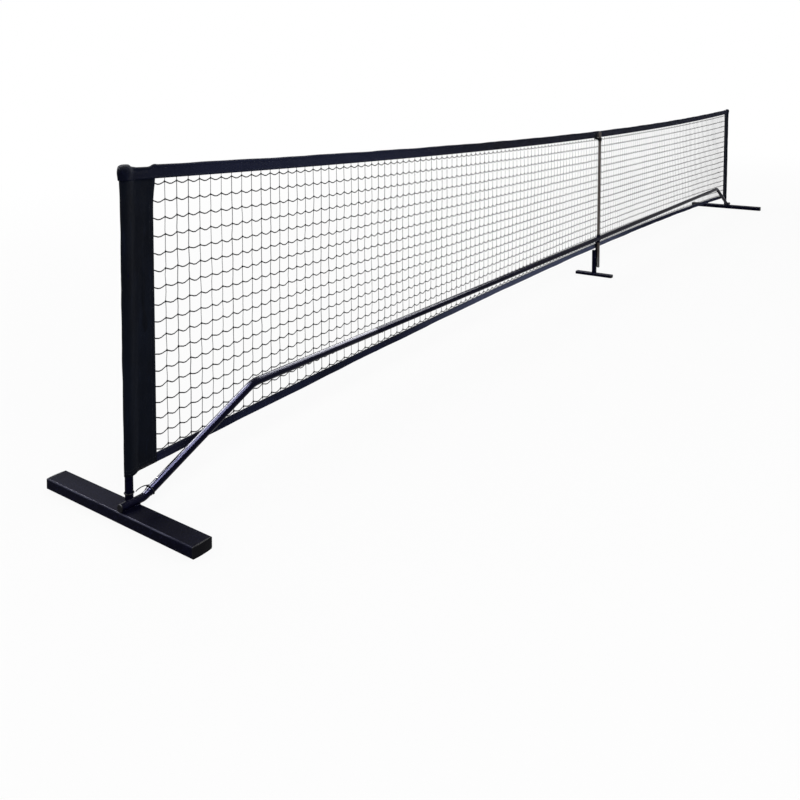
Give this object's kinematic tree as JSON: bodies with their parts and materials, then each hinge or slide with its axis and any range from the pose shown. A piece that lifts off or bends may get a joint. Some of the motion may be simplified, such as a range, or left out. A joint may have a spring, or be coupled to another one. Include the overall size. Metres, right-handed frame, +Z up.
{
  "type": "portable sports net",
  "caption": "Free-standing low court net: a bordered mesh hung on two end posts over wide feet, with a jointed brace rail along the bottom and a hooked rod holding up the middle.",
  "frame": {"origin": "on the floor under the middle of the net, half way between the two posts", "axes": "X along the net, Y across it with the bottom rail in front at -Y, Z up"},
  "size_m": [6.804, 0.6, 0.922],
  "materials": {
    "foot_coat": "satin powder coat",
    "frame_coat": "gloss powder coat",
    "plastic": "matte",
    "elastic": "woven elastic",
    "spring_steel": "plain",
    "rod_coat": "satin",
    "rod_tip": "matte",
    "net_twine": "braided twine",
    "tape_fabric": "woven polyester",
    "cord": "braided"
  },
  "bodies": {
    "frame": {"foot_left": "foot_coat", "foot_right": "foot_coat", "foot_caps_left": "plastic", "foot_caps_right": "plastic", "base_bracket_left": "frame_coat", "base_bracket_right": "frame_coat", "bracket_plugs": "plastic", "post_stub_left": "frame_coat", "post_stub_right": "frame_coat", "tether_left": "elastic", "tether_right": "elastic", "brace_left": "frame_coat", "brace_right": "frame_coat", "rail_outer_left": "frame_coat", "rail_outer_right": "frame_coat", "rail_inner_left": "frame_coat", "rail_inner_right": "frame_coat", "rail_coupler": "frame_coat", "rod_sleeve": "frame_coat", "centre_strap": "frame_coat", "centre_upright": "frame_coat", "upright_cap": "plastic", "centre_foot": "foot_coat", "centre_foot_caps": "plastic", "snap_springs": "spring_steel"},
    "left_post": {"post_left": "frame_coat", "post_cap_left": "plastic"},
    "right_post": {"post_right": "frame_coat", "post_cap_right": "plastic"},
    "net": {"net_mesh": "net_twine", "top_tape": "tape_fabric", "bottom_tape": "tape_fabric", "sleeve_left": "tape_fabric", "sleeve_right": "tape_fabric", "top_cord": "cord", "bottom_cord": "cord"},
    "middle_rod": {"centre_rod": "rod_coat", "rod_tip": "rod_tip", "rod_cap": "plastic", "rod_hook": "plastic"},
    "button_base_left": {"button_base_left": "spring_steel"},
    "button_brace_left": {"button_brace_left": "spring_steel"},
    "button_rail_left": {"button_rail_left": "spring_steel"},
    "button_centre_left": {"button_centre_left": "spring_steel"},
    "button_base_right": {"button_base_right": "spring_steel"},
    "button_brace_right": {"button_brace_right": "spring_steel"},
    "button_rail_right": {"button_rail_right": "spring_steel"},
    "button_centre_right": {"button_centre_right": "spring_steel"}
  },
  "joints": [
    {"name": "left_post_lift", "type": "slide", "parent": "frame", "child": "left_post", "axis": [0, 0, 1], "range_m": [0, 0.1]},
    {"name": "right_post_lift", "type": "slide", "parent": "frame", "child": "right_post", "axis": [0, 0, 1], "range_m": [0, 0.1]},
    {"name": "net_lift", "type": "slide", "parent": "left_post", "child": "net", "axis": [0, 0, 1], "range_m": [0, 0.85]},
    {"name": "rod_lowering", "type": "slide", "parent": "net", "child": "middle_rod", "axis": [0, 0, 1], "range_m": [-0.03, 0]},
    {"name": "press_base_left", "type": "slide", "parent": "frame", "child": "button_base_left", "axis": [0.4078, 0, -0.9131], "range_m": [0, 0.0047], "stiffness_N_per_m": 1200, "springref_m": -0.001},
    {"name": "press_brace_left", "type": "slide", "parent": "frame", "child": "button_brace_left", "axis": [0, 0, 1], "range_m": [0, 0.0047], "stiffness_N_per_m": 1200, "springref_m": -0.001},
    {"name": "press_rail_left", "type": "slide", "parent": "frame", "child": "button_rail_left", "axis": [0, 0, 1], "range_m": [0, 0.0047], "stiffness_N_per_m": 1200, "springref_m": -0.001},
    {"name": "press_centre_left", "type": "slide", "parent": "frame", "child": "button_centre_left", "axis": [0, 0, 1], "range_m": [0, 0.0047], "stiffness_N_per_m": 1200, "springref_m": -0.001},
    {"name": "press_base_right", "type": "slide", "parent": "frame", "child": "button_base_right", "axis": [-0.4078, 0, -0.9131], "range_m": [0, 0.0047], "stiffness_N_per_m": 1200, "springref_m": -0.001},
    {"name": "press_brace_right", "type": "slide", "parent": "frame", "child": "button_brace_right", "axis": [0, 0, 1], "range_m": [0, 0.0047], "stiffness_N_per_m": 1200, "springref_m": -0.001},
    {"name": "press_rail_right", "type": "slide", "parent": "frame", "child": "button_rail_right", "axis": [0, 0, 1], "range_m": [0, 0.0047], "stiffness_N_per_m": 1200, "springref_m": -0.001},
    {"name": "press_centre_right", "type": "slide", "parent": "frame", "child": "button_centre_right", "axis": [0, 0, 1], "range_m": [0, 0.0047], "stiffness_N_per_m": 1200, "springref_m": -0.001}
  ],
  "couplings": [
    {"joint": "right_post_lift", "follows": "left_post_lift", "ratio": 1}
  ]
}
